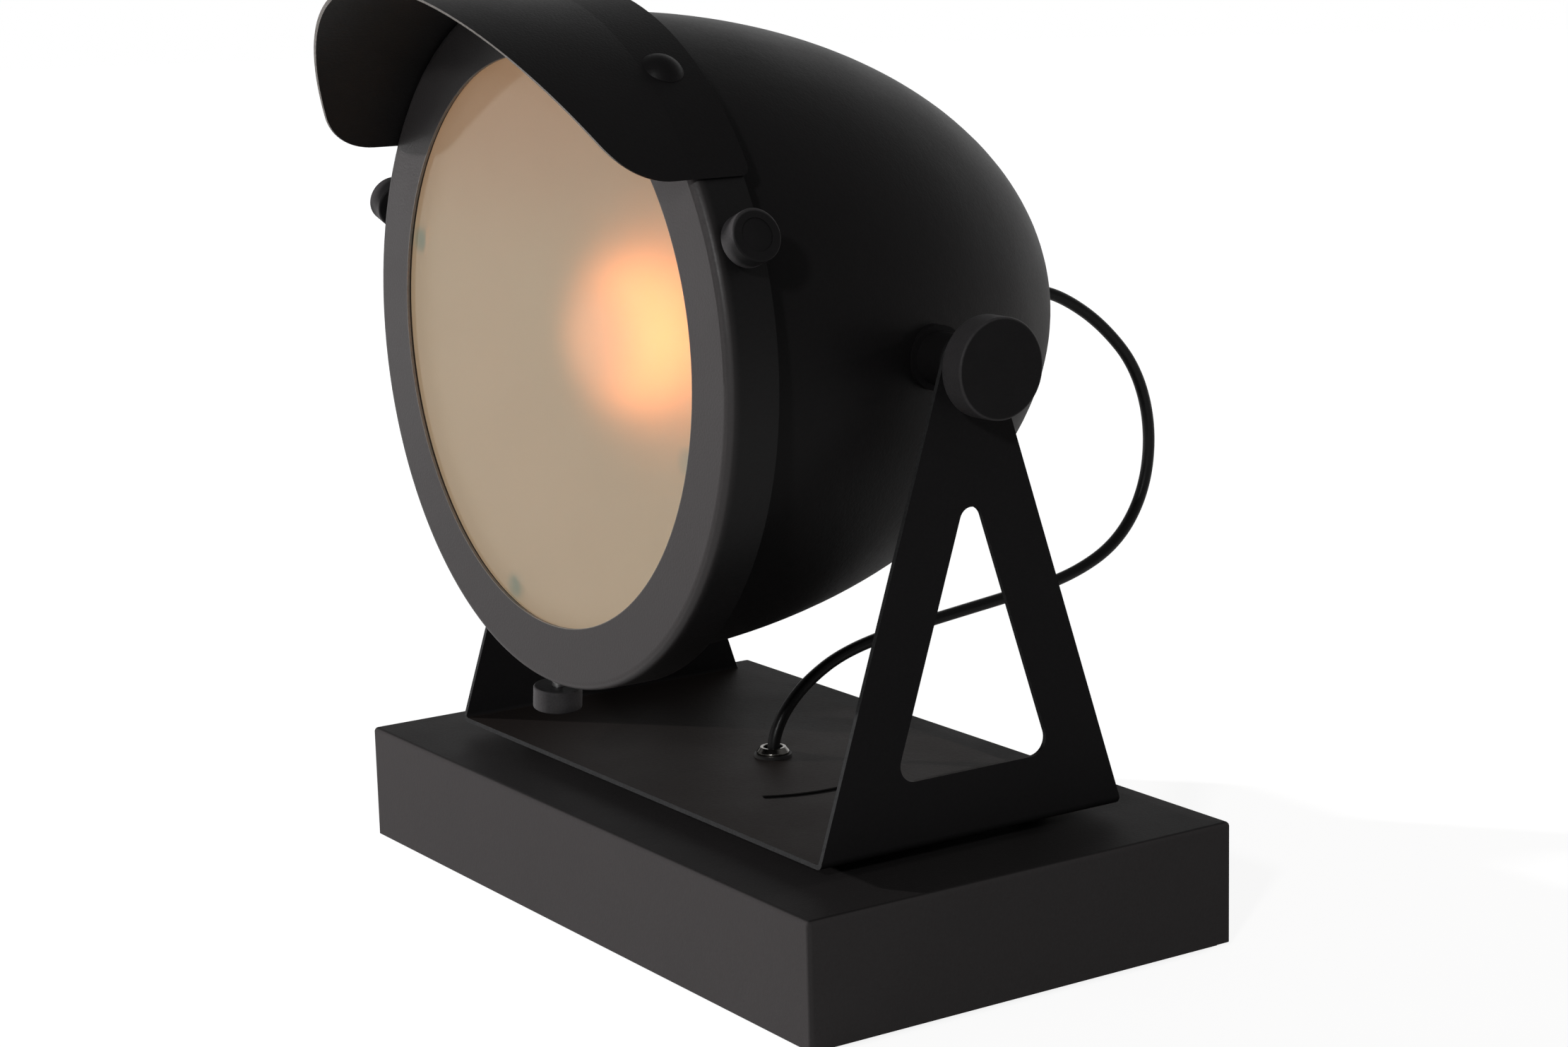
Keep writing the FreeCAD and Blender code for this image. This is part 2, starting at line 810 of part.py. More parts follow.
def skirt_hole(station, angle, radius):
    """A radial hole through the ring's skirt, and through the visor on it."""
    low = ring_skirt_inner - cut_margin
    high = ring_outer_radius + visor_sheet + cut_margin
    return rod(head_point(station), radial(angle), low, high, radius)


def make_ring():
    profile = [
        (0, ring_inner_radius),
        (0, ring_outer_radius),
        (ring_depth, ring_outer_radius),
        (ring_depth, ring_skirt_inner),
        (ring_sheet, ring_skirt_inner),
        (ring_sheet, ring_inner_radius),
    ]
    ring = spun(profile, [0, ring_edge_radius, 0, 0, ring_edge_radius - ring_sheet, 0])
    for angle in thumb_angles.values():
        ring = ring.cut(skirt_hole(thumb_station, angle, thumb_stud_radius + hole_gap))
    for angle in (-visor_bolt_angle, visor_bolt_angle):
        ring = ring.cut(skirt_hole(visor_bolt_station, angle, visor_bolt_radius + hole_gap))
    return ring


def make_seal():
    return tube(HEAD, Y_AXIS, ring_sheet, seal_back, glass_radius, seal_inner_radius)


def make_glass():
    return rod(HEAD, Y_AXIS, seal_back, glass_back, glass_radius)


def make_clips():
    riser = glass_radius + panel_gap
    tongue_back = glass_back + clip_sheet
    profile = [
        (ring_sheet, riser),
        (ring_sheet, clip_foot_radius),
        (ring_sheet + clip_sheet, clip_foot_radius),
        (ring_sheet + clip_sheet, riser + clip_sheet),
        (tongue_back, riser + clip_sheet),
        (tongue_back, clip_tip_radius),
        (glass_back, clip_tip_radius),
        (glass_back, riser),
    ]
    clips = []
    for angle in clip_angles:
        across = Y_AXIS.cross(radial(angle))
        points = [head_point(station, angle, radius) - across * (clip_width / 2) for station, radius in profile]
        clips.append(rounded_face(points).extrude(across * clip_width))
    return clips


def make_weld_nuts():
    inside = rod(HEAD, Y_AXIS, 0, ring_depth, ring_skirt_inner)
    nuts = []
    for angle in thumb_angles.values():
        low = ring_skirt_inner - weld_nut_height
        origin = head_point(thumb_station)
        nut = rod(origin, radial(angle), low, ring_outer_radius, weld_nut_radius).common(inside)
        bore = thumb_stud_radius + running_gap
        nuts.append(nut.cut(rod(origin, radial(angle), low, ring_outer_radius, bore)))
    return nuts


def make_thumb_head(angle):
    start = thumb_head_start
    end = start + thumb_head_length
    hole = thumb_stud_radius + press_gap
    floor = start + thumb_stud_in_head
    face = end - thumb_recess_depth
    profile = [
        (start, hole),
        (start, thumb_head_radius),
        (end, thumb_head_radius),
        (end, thumb_recess_radius),
        (face, thumb_recess_radius),
        (face, 0),
        (floor, 0),
        (floor, hole),
    ]
    edge = thumb_head_edge
    return turned(head_point(thumb_station), radial(angle), profile, [0, edge, edge, 0, 0, 0, 0, 0])


def make_thumb_stud(angle):
    tip = shell_radius + thumb_tip_gap
    end = thumb_head_start + thumb_stud_in_head - press_gap
    return rod(head_point(thumb_station), radial(angle), tip, end, thumb_stud_radius)


def visor_cone(extra):
    """The visor's inner surface as a solid, round on the skirt and flared in front of it."""
    seat = ring_outer_radius + extra
    lip = seat + visor_flare * visor_reach
    return spun([(-visor_reach, 0), (-visor_reach, lip), (0, seat), (visor_rear, seat), (visor_rear, 0)])


def make_visor():
    sheet = visor_cone(visor_sheet).cut(visor_cone(0))
    reach = ring_outer_radius + visor_sheet + visor_flare * visor_reach + cut_margin
    top = axis_z + reach
    side_z = axis_z + visor_side_height
    front_side = ring_y - visor_front_at_side
    front_top = front_side - visor_lean * (top - side_z)
    rear = ring_y + visor_rear
    side = [V(-reach, rear, side_z), V(-reach, front_side, side_z)]
    crown = [V(-reach, front_top, top), V(-reach, rear, top)]
    outline = rounded_face(side + crown, [visor_rear_corner, visor_corner_radius, 0, 0])
    visor = sheet.common(outline.extrude(V(2 * reach, 0, 0)))
    for angle in (-visor_bolt_angle, visor_bolt_angle):
        visor = visor.cut(skirt_hole(visor_bolt_station, angle, visor_bolt_radius + hole_gap))
    return visor


def make_visor_bolts():
    outer = ring_outer_radius + visor_sheet
    crown = outer + visor_bolt_head_height
    reach = visor_bolt_head_radius
    height = visor_bolt_head_height
    dome = (reach ** 2 + height ** 2) / (2 * height)
    limit = visor_cone(visor_sheet)
    bolts = []
    for angle in (-visor_bolt_angle, visor_bolt_angle):
        origin = head_point(visor_bolt_station)
        ball = Part.makeSphere(dome, origin + radial(angle) * (crown - dome))
        head = ball.common(rod(origin, radial(angle), outer - cut_margin, crown + cut_margin, reach)).cut(limit)
        shank = rod(origin, radial(angle), visor_bolt_tip, outer + height / 2, visor_bolt_radius)
        bolts.append(head.fuse(shank).removeSplitter())
    return bolts


def make_visor_nuts():
    end = ring_skirt_inner - 2 * face_gap
    bore = visor_bolt_radius + running_gap
    nuts = []
    for angle in (-visor_bolt_angle, visor_bolt_angle):
        origin = head_point(visor_bolt_station)
        nuts.append(hexagon(origin, radial(angle), end - visor_nut_height, end, visor_nut_flats, bore))
    return nuts


def save(name, shape):
    """Write one node, as one solid or as a group of separate solids."""
    if isinstance(shape, list):
        shape = Part.makeCompound(shape)
    solids = shape.Solids
    if not shape.isValid() or not solids:
        raise ValueError("bad shape: " + name)
    if len(solids) == 1:
        shape = solids[0]
    shape.exportStep("parts/" + name + ".step")
    box = shape.BoundBox
    text = "%-24s solids %2d  volume %10.1f  x %7.1f %7.1f  y %7.1f %7.1f  z %7.1f %7.1f"
    print(text % (name, len(solids), shape.Volume, box.XMin, box.XMax, box.YMin, box.YMax, box.ZMin, box.ZMax))


def build():
    os.makedirs("parts", exist_ok=True)
    save("anti_slip_pad", make_pad())
    save("base_housing", make_housing())
    save("base_bottom_plate", make_bottom_plate())
    save("bottom_plate_screws", make_bottom_screws())
    save("inlet_bush", make_inlet_bush())
    save("terminal_block", make_terminal_block())
    save("terminal_block_screw", make_terminal_screw())
    save("base_lead", make_base_lead())
    save("yoke_bracket", make_yoke())
    save("yoke_studs", make_studs())
    save("yoke_standoffs", make_standoffs())
    save("yoke_nuts", make_stud_nuts())
    save("collar_washer", make_collar_washer())
    save("cord_collar", make_collar())
    save("collar_nut", make_collar_nut())
    save("head_cord", make_head_cord())
    for name, side in (("right", 1), ("left", -1)):
        save(name + "_pivot_boss", make_boss(side))
        save(name + "_friction_washer", make_friction_washer(side))
        save(name + "_knob_washer", make_knob_washer(side))
        save(name + "_clamp_knob", make_knob(side))
        save(name + "_clamp_stud", make_clamp_stud(side))
    save("head_shell", make_shell())
    save("rear_gland", make_gland())
    save("holder_tube", make_tube())
    save("holder_tube_nut", make_tube_nut())
    save("lamp_holder", make_holder())
    save("holder_lead", make_holder_lead())
    save("bulb_cap", make_bulb_cap())
    save("bulb_glass", make_bulb_glass())
    save("bezel_ring", make_ring())
    save("glass_seal", make_seal())
    save("front_glass", make_glass())
    save("glass_clips", make_clips())
    save("thumb_weld_nuts", make_weld_nuts())
    save("visor", make_visor())
    save("visor_bolts", make_visor_bolts())
    save("visor_nuts", make_visor_nuts())
    for name, angle in thumb_angles.items():
        save(name + "_thumb_head", make_thumb_head(angle))
        save(name + "_thumb_stud", make_thumb_stud(angle))


build()
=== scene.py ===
"""Tabletop searchlight lamp: the looks of its pieces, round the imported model."""

import math

import bmesh
import bpy
from mathutils import Matrix, Vector


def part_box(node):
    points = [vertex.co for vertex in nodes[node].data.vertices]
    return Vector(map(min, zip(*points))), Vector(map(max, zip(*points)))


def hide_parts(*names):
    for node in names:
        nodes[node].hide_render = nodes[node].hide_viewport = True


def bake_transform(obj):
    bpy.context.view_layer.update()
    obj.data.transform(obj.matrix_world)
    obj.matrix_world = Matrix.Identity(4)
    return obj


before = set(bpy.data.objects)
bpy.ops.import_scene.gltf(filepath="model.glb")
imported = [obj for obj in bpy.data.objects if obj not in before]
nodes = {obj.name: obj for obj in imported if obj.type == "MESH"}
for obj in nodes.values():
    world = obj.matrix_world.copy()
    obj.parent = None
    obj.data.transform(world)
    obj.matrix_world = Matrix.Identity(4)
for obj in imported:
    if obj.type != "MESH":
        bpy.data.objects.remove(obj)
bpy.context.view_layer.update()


# The pad under the base is a sheet of black foam rubber with cut edges. It is
# glued to the bottom plate so that the box doesn't scratch the table.
class Wire:
    """A shader socket that takes plain arithmetic."""

    def __init__(self, finish, socket):
        self.finish = finish
        self.socket = socket

    def reckon(self, operation, *values):
        return self.finish.node("ShaderNodeMath", {"operation": operation}, dict(enumerate(values)))

    def __add__(self, other):
        return self.reckon("ADD", self, other)

    def __sub__(self, other):
        return self.reckon("SUBTRACT", self, other)

    def __rsub__(self, other):
        return self.reckon("SUBTRACT", other, self)

    def __mul__(self, other):
        return self.reckon("MULTIPLY", self, other)

    def __abs__(self):
        return self.reckon("ABSOLUTE", self)

    def top(self, other):
        return self.reckon("MAXIMUM", self, other)

    __radd__ = __add__
    __rmul__ = __mul__


class Finish:
    """The nodes of a material, or of the world: node() adds any of them."""

    def __init__(self, owner):
        self.owner = owner
        owner.use_nodes = True
        self.tree = owner.node_tree
        self.tree.nodes.clear()

    def node(self, kind, settings=None, sockets=None, out=0):
        made = self.tree.nodes.new(kind)
        for name, value in (settings or {}).items():
            setattr(made, name, value)
        for name, value in (sockets or {}).items():
            if isinstance(value, Wire):
                self.tree.links.new(value.socket, made.inputs[name])
            else:
                made.inputs[name].default_value = value
        return Wire(self, made.outputs[out]) if made.outputs else None

    def spot(self):
        """Where a point is on the object, in metres."""
        return self.node("ShaderNodeTexCoord", out="Object")

    def noise(self, size, detail=2.0):
        """Soft blotches about size metres across, from 0 to 1."""
        sockets = {"Vector": self.spot(), "Scale": 1 / size, "Detail": detail}
        return self.node("ShaderNodeTexNoise", {}, sockets, out="Fac")

    def shade(self, share, *colours):
        """One colour passing into another as share goes from 0 to 1."""
        first, second = [colour if isinstance(colour, Wire) else (*colour, 1) for colour in colours]
        return self.node("ShaderNodeMix", {"data_type": "RGBA"}, {0: share, 6: first, 7: second}, out=2)

    def relief(self, height, depth):
        """A surface raised by height times depth metres."""
        return self.node("ShaderNodeBump", {}, {"Height": height, "Distance": depth, "Strength": 1.0})

    def surface(self, **sockets):
        named = {name.replace("_", " "): value for name, value in sockets.items()}
        shader = self.node("ShaderNodeBsdfPrincipled", {}, named)
        self.node("ShaderNodeOutputMaterial", {}, {"Surface": shader})
        return self.owner


def new_finish(name):
    return Finish(bpy.data.materials.new(name))


def dress(finish, *names):
    """Give CAD nodes their finish."""
    for name in names:
        data = nodes[name].data
        data.materials.clear()
        data.materials.append(finish)


pad_black = ((0.012, 0.012, 0.012), (0.03, 0.029, 0.028))
pad_cell = 0.0009
pad_cell_depth = 0.0003
pad_dust = 0.03


def foam_rubber():
    foam = new_finish("foam_rubber")
    cells = foam.noise(pad_cell, 3.0)
    dust = foam.noise(pad_dust)
    return foam.surface(
        Base_Color=foam.shade(cells * 0.6 + dust * 0.4, *pad_black),
        Roughness=0.85 + dust * 0.1,
        Normal=foam.relief(cells, pad_cell_depth),
        Specular_IOR_Level=0.2,
    )


dress(foam_rubber(), "anti_slip_pad")


# The base is a box folded from steel sheet, its corners welded and dressed
# smooth, with a plate screwed up into it from below. Both have a fine-grained
# graphite powder coat, painted darker on top as painted shade, where it only mirrors a dim room.
coat_grain = 0.0011
coat_peel = 0.0034
coat_cloud = 0.05
coat_depth = 0.00009
up = (0, 0, 1)
nearly_flat = (0.7, 0.95)
graphite = ((0.034, 0.0315, 0.0318), (0.05, 0.0467, 0.0472))
graphite_top_painted_shade = 0.4


def step(finish, value, low, high, first=0.0, last=1.0):
    """From first to last, smoothly, as a value goes from low to high."""
    limits = {"From Min": low, "From Max": high, "To Min": first, "To Max": last}
    return finish.node(
        "ShaderNodeMapRange",
        {"interpolation_type": "SMOOTHSTEP"},
        {"Value": value, **limits},
    )


def facing(finish, way, low, high):
    """1 where the surface looks one way: low and high are cosines."""
    sockets = {0: finish.node("ShaderNodeTexCoord", out="Normal"), 1: way}
    along = finish.node("ShaderNodeVectorMath", {"operation": "DOT_PRODUCT"}, sockets, out="Value")
    return step(finish, along, low, high)


def coat_texture(coat):
    """A powder coat's grain, its wide clouds, and the blotches that both make."""
    grain = coat.noise(coat_grain, 3.0)
    cloud = coat.noise(coat_cloud, 3.0)
    return grain, cloud, grain * 0.55 + cloud * 0.45


def uneven(roughness, grain, cloud, cloudy=0.16):
    """A roughness that wanders round its middle value."""
    return roughness + (cloud - 0.5) * cloudy + (grain - 0.5) * 0.12


def orange_peel(coat, grain):
    return coat.relief(grain * 0.6 + coat.noise(coat_peel, 1.0) * 0.4, coat_depth)


def powder_coat(name, tones, roughness, gloss, on_top=1.0):
    """Powder coat between a dark and a light tone. What lies flat is painted darker, a painted shade that
    keeps the share on_top of them.
    """
    coat = new_finish(name)
    grain, cloud, blotch = coat_texture(coat)
    colour = coat.shade(blotch, *tones)
    # Painted shade: what lies flat is painted darker, for a top that only mirrors a dim room.
    if on_top < 1.0:
        dimmed = [[part * on_top for part in tone] for tone in tones]
        colour = coat.shade(facing(coat, up, *nearly_flat), colour, coat.shade(blotch, *dimmed))
    return coat.surface(
        Base_Color=colour,
        Roughness=uneven(roughness, grain, cloud),
        Normal=orange_peel(coat, grain),
        Specular_IOR_Level=gloss,
    )


base_coat = powder_coat("graphite_coat", graphite, 0.6, 0.065, graphite_top_painted_shade)
dress(base_coat, "base_housing", "base_bottom_plate")


# Zinc-plated screws, studs and nuts hold the base together and the yoke on it.
# They are bright where they show, with a faint turned grain.
zinc_bright = ((0.62, 0.62, 0.63), (0.82, 0.82, 0.8))
zinc_grain = 0.0008
zinc_grain_depth = 0.00003
zinc_cloud = 0.008


def zinc_plate():
    plate = new_finish("zinc_plate")
    grain = plate.noise(zinc_grain, 4.0)
    return plate.surface(
        Base_Color=plate.shade(plate.noise(zinc_cloud), *zinc_bright),
        Metallic=1.0,
        Roughness=0.28 + grain * 0.16,
        Normal=plate.relief(grain, zinc_grain_depth),
    )


zinc = zinc_plate()
dress(zinc, "bottom_plate_screws", "yoke_studs", "yoke_nuts", "collar_nut", "terminal_block_screw")


# The mains lead would enter through a rubber bush in the rear wall, and ends in
# a small terminal block of pale plastic, screwed up under the top of the box.
rubber_black = ((0.012, 0.012, 0.012), (0.024, 0.023, 0.022))
rubber_bloom = 0.004
rubber_grain = 0.0005
rubber_grain_depth = 0.00004
block_white = ((0.68, 0.67, 0.62), (0.78, 0.77, 0.73))
block_cloud = 0.006


def soft_rubber():
    moulded = new_finish("black_rubber")
    bloom = moulded.noise(rubber_bloom)
    return moulded.surface(
        Base_Color=moulded.shade(bloom, *rubber_black),
        Roughness=0.5 + bloom * 0.15,
        Normal=moulded.relief(moulded.noise(rubber_grain), rubber_grain_depth),
        Specular_IOR_Level=0.3,
    )


def terminal_plastic():
    plastic = new_finish("terminal_plastic")
    cloud = plastic.noise(block_cloud)
    return plastic.surface(Base_Color=plastic.shade(cloud, *block_white), Roughness=0.4 + cloud * 0.1)


rubber = soft_rubber()
dress(rubber, "inlet_bush", "collar_washer")
dress(terminal_plastic(), "terminal_block")


# The yoke is one steel sheet folded up at both sides, with a triangular window
# in each side plate and a short curved slit in its bed. It stands on four short
# spacers, and its powder coat is a deeper black than the base's.
yoke_upright = ((0.0082, 0.0078, 0.0082), (0.0158, 0.0151, 0.0158))
yoke_flat_glow = ((0.0122, 0.0102, 0.0096), (0.0205, 0.0172, 0.0162))
yoke_edge_highlight = ((0.016, 0.0162, 0.0165), (0.042, 0.0422, 0.043))
spacer_black = ((0.0085, 0.0078, 0.0077), (0.0165, 0.0151, 0.0149))
slit_painted_shade = ((0.0012, 0.0012, 0.0012), (0.0028, 0.0027, 0.0026))
slit_centre = (0.0006, -0.0080, 0)
slit_radius = 0.0596
slit_middle = (0.0595, -0.0172, 0)
slit_reach = 0.0232
slit_end_fade = 0.0005
slit_edge_fade = (0.0019, 0.003)
slit_dulling = 0.42
forward = (0, -1, 0)
cut_edge = (0.75, 0.92)


def distance_from(finish, place, axes):
    """How far a point is from a place, in metres: axes has 1 for each axis that counts."""
    flat = finish.node("ShaderNodeVectorMath", {"operation": "MULTIPLY"}, {0: finish.spot(), 1: axes})
    centre = [value * counts for value, counts in zip(place, axes)]
    return finish.node("ShaderNodeVectorMath", {"operation": "DISTANCE"}, {0: flat, 1: centre}, out="Value")


def yoke_paint():
    """Black, painted warmer and paler on what lies flat as warm light from the lit glass, with a painted
    highlight on the front-facing edges and painted shade beside the slit.
    """
    coat = new_finish("yoke_coat")
    grain, cloud, blotch = coat_texture(coat)
    upright = coat.shade(blotch, *yoke_upright)
    flat_glow = coat.shade(blotch, *yoke_flat_glow)
    # Painted light: what lies flat is painted warmer and paler, for the lit glass's warm glow falling on
    # the bed.
    painted = coat.shade(facing(coat, up, *nearly_flat), upright, flat_glow)
    # Painted shade: the paint beside the slit is darkened, for the shade in and around the narrow cut.
    off_slit = abs(distance_from(coat, slit_centre, (1, 1, 0)) - slit_radius)
    along_slit = distance_from(coat, slit_middle, (1, 1, 0))
    beside = step(coat, off_slit, *slit_edge_fade, 1, 0)
    within = step(coat, along_slit, slit_reach - slit_end_fade, slit_reach + slit_end_fade, 1, 0)
    slit_edge = beside * within
    painted = coat.shade(slit_edge, painted, coat.shade(grain, *slit_painted_shade))
    # Painted highlight: the front-facing edges are painted paler, where the front lamps catch the cut
    # edges.
    edge_highlight = coat.shade(grain, *yoke_edge_highlight)
    return coat.surface(
        Base_Color=coat.shade(facing(coat, forward, *cut_edge), painted, edge_highlight),
        Roughness=uneven(0.58, grain, cloud) + slit_edge * slit_dulling,
        Normal=orange_peel(coat, grain),
        Specular_IOR_Level=0.06,
    )


dress(yoke_paint(), "yoke_bracket")
dress(powder_coat("spacer_coat", spacer_black, 0.58, 0.06), "yoke_standoffs")


# A turned and nickel-plated collar lines the hole where the cord goes down
# through the bed of the yoke. It stands on a thin rubber washer.
nickel_tones = ((0.15, 0.144, 0.132), (0.3, 0.287, 0.265))
nickel_cloud = 0.004


def nickel_plate():
    nickel = new_finish("nickel_plate")
    cloud = nickel.noise(nickel_cloud)
    colour = nickel.shade(cloud, *nickel_tones)
    return nickel.surface(Base_Color=colour, Metallic=1.0, Roughness=0.14 + cloud * 0.14)


dress(nickel_plate(), "cord_collar")


# The cord is a round flexible cable with a satin black jacket. It hangs in a
# loop behind the head, comes forward over the bed and goes down the collar.
cord_width = 0.0055
cord_route = [
    (0.0, 0.1365, 0.2508),
    (0.0, 0.1476, 0.2508),
    (0.0005, 0.1645, 0.2447),
    (0.0015, 0.1845, 0.2311),
    (0.0025, 0.2031, 0.2103),
    (0.003, 0.2116, 0.1822),
    (0.0025, 0.2085, 0.1522),
    (0.002, 0.1926, 0.129),
    (0.001, 0.1652, 0.1167),
    (0.0, 0.1322, 0.1123),
    (-0.001, 0.0982, 0.1085),
    (-0.0015, 0.0649, 0.1047),
    (-0.001, 0.038, 0.0995),
    (-0.0005, 0.02, 0.0907),
    (0.0, 0.0079, 0.0806),
    (0.0, 0.0021, 0.0712),
    (0.0, 0.0, 0.0635),
    (0.0, 0.0, 0.058),
]
steps_between_points = 12
steps_round_jacket = 5
jacket_black = ((0.0042, 0.0042, 0.0044), (0.0095, 0.0092, 0.0092))
jacket_rub = 0.006
jacket_grain = 0.0007
jacket_grain_depth = 0.00005


def spline_mesh(name, width):
    """The cord's smooth line as a mesh, as a tube if it has a width."""
    line = bpy.data.curves.new(name, "CURVE")
    line.dimensions = "3D"
    line.resolution_u = steps_between_points
    line.bevel_depth = width / 2
    line.bevel_resolution = steps_round_jacket
    line.use_fill_caps = width > 0
    spline = line.splines.new("NURBS")
    spline.points.add(len(cord_route) - 1)
    for point, place in zip(spline.points, cord_route):
        point.co = (*place, 1)
    spline.order_u = 3
    spline.use_endpoint_u = True
    holder = bpy.data.objects.new(name, line)
    bpy.context.scene.collection.objects.link(holder)
    mesh = bpy.data.meshes.new_from_object(holder)
    bpy.data.objects.remove(holder)
    return mesh


def cord_jacket():
    skin = new_finish("cord_jacket")
    rub = skin.noise(jacket_rub, 3.0)
    return skin.surface(
        Base_Color=skin.shade(rub, *jacket_black),
        Roughness=0.24 + rub * 0.2,
        Normal=skin.relief(skin.noise(jacket_grain), jacket_grain_depth),
        Specular_IOR_Level=0.26,
    )


jacket = cord_jacket()
cord_line = [tuple(vertex.co) for vertex in spline_mesh("cord_line", 0.0).vertices]
cord_tube = spline_mesh("hanging_cord", cord_width)
cord_tube.shade_smooth()
cord_tube.materials.clear()
cord_tube.materials.append(jacket)
hanging_cord = bpy.data.objects.new("hanging_cord", cord_tube)
bpy.context.scene.collection.objects.link(hanging_cord)
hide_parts("head_cord")
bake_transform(hanging_cord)
dress(jacket, "base_lead", "holder_lead")


# Each pivot is a turned steel boss welded to the shell, with a fibre washer, and
# a clamp knob outside the side plate that screws into it. The knobs are moulded
# in black plastic over a steel stud.
plastic_skin = 0.0009
plastic_cloud = 0.012
plastic_depth = 0.00005
knob_black = ((0.0095, 0.0092, 0.0098), (0.018, 0.0175, 0.018))
grip_cloud = 0.009
grip_depth = 0.00006
grip_face = ((0.0085, 0.008, 0.0085), (0.0155, 0.0148, 0.0155))
grip_side_pale = ((0.03, 0.0285, 0.0295), (0.062, 0.059, 0.061))
grip_inside_edge = (0.0012, 0.0004)
shell_black = ((0.0055, 0.0051, 0.0054), (0.0108, 0.0101, 0.0105))


def moulded_plastic(name, tones, roughness):
    plastic = new_finish(name)
    skin = plastic.noise(plastic_skin, 3.0)
    cloud = plastic.noise(plastic_cloud)
    return plastic.surface(
        Base_Color=plastic.shade(skin * 0.4 + cloud * 0.6, *tones),
        Roughness=roughness + (cloud - 0.5) * 0.14,
        Normal=plastic.relief(skin, plastic_depth),
        Specular_IOR_Level=0.1,
    )


def gripped_plastic(node):
    """A knob's plastic: its flat face is darker and its side paler."""
    plastic = new_finish(node + "_plastic")
    low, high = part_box(node)
    reach = (high - low) / 2
    radius = max(reach)
    thickness = min(reach)
    round_axis = [0.0 if half == thickness else 1.0 for half in reach]
    off_axis = distance_from(plastic, (low + high) / 2, round_axis)
    side = step(plastic, off_axis, *[radius - inside for inside in grip_inside_edge])
    skin = plastic.noise(plastic_skin, 3.0)
    cloud = plastic.noise(grip_cloud)
    face = plastic.shade(skin * 0.4 + cloud * 0.6, *grip_face)
    pale_side = plastic.shade(skin * 0.7 + cloud * 0.3, *grip_side_pale)
    return plastic.surface(
        Base_Color=plastic.shade(side, face, pale_side),
        Roughness=0.52 + (cloud - 0.5) * 0.14 - side * 0.06,
        Normal=plastic.relief(skin, grip_depth),
        Specular_IOR_Level=0.1,
    )


knob_plastic = moulded_plastic("knob_plastic", knob_black, 0.5)
black_coat = powder_coat("black_coat", shell_black, 0.46, 0.122)
dress(black_coat, "right_pivot_boss", "left_pivot_boss")
for side in ("right", "left"):
    dress(knob_plastic, side + "_friction_washer", side + "_knob_washer")
    dress(gripped_plastic(side + "_clamp_knob"), side + "_clamp_knob")
    dress(zinc, side + "_clamp_stud")


# The head is a bullet-shaped shell spun from steel sheet, black inside and out,
# with a plastic gland at the back where the cord comes out of the tube that
# carries the lamp holder.
dress(black_coat, "head_shell")
dress(knob_plastic, "rear_gland")
dress(zinc, "holder_tube", "holder_tube_nut")


# A plastic lamp holder takes a bulb with a standard screw cap. The bulb is lit,
# and shows as a warm patch behind the frosted glass. Its light is dimmer at the
# front end of the globe and fades out toward the neck.
holder_brown = ((0.04, 0.038, 0.036), (0.06, 0.057, 0.054))
cap_brass = ((0.6, 0.5, 0.3), (0.78, 0.68, 0.46))
cap_cloud = 0.003
bulb_white = (0.9, 0.85, 0.75, 1)
bulb_dim = (0.1, 0.018, 0.003)
bulb_bright = (1.0, 0.27, 0.055)
bulb_front_end = (0.002, 0.03)
bulb_front_light = 0.1
bulb_neck = (0.036, 0.058)


def cap_metal():
    cap = new_finish("cap_metal")
    cloud = cap.noise(cap_cloud)
    return cap.surface(Base_Color=cap.shade(cloud, *cap_brass), Metallic=1.0, Roughness=0.2 + cloud * 0.15)


def axis_value(finish, axis):
    """One coordinate of a point: 0, 1 or 2 for x, y or z."""
    return finish.node("ShaderNodeSeparateXYZ", {}, {"Vector": finish.spot()}, out=axis)


def lit_glass():
    glass = new_finish("lit_glass")
    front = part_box("bulb_glass")[0][1]
    depth = axis_value(glass, 1)
    front_to_back = step(glass, depth, *[front + far for far in bulb_front_end], bulb_front_light)
    back_to_neck = step(glass, depth, *[front + far for far in bulb_neck], 1, 0)
    return glass.surface(
        Base_Color=bulb_white,
        Roughness=0.35,
        Emission_Color=glass.shade(front_to_back * back_to_neck, bulb_dim, bulb_bright),
        Emission_Strength=9.0,
    )


dress(moulded_plastic("holder_plastic", holder_brown, 0.4), "lamp_holder")
dress(cap_metal(), "bulb_cap")
dress(lit_glass(), "bulb_glass")


# The front ring is pressed from steel sheet with a rounded edge and a skirt that
# slips over the shell. Its grey-black coat catches the light from the front.
glass_inside_ring = 0.0048
lip_depth = 0.0004
skirt_behind_face = (0.0015, 0.006)
ring_face = ((0.026, 0.0236, 0.0238), (0.0385, 0.0352, 0.0355))
ring_skirt = ((0.0052, 0.0049, 0.0051), (0.0105, 0.0099, 0.0103))
ring_rounding_highlight = ((0.046, 0.0428, 0.043), (0.064, 0.0596, 0.06))
ring_lip_glow = ((0.12, 0.112, 0.1), (0.2, 0.186, 0.165))
rounding_outside = (0.15, 0.5)
rounding_inside = (0.84, 0.985)
worn_grain_depth = 0.00008


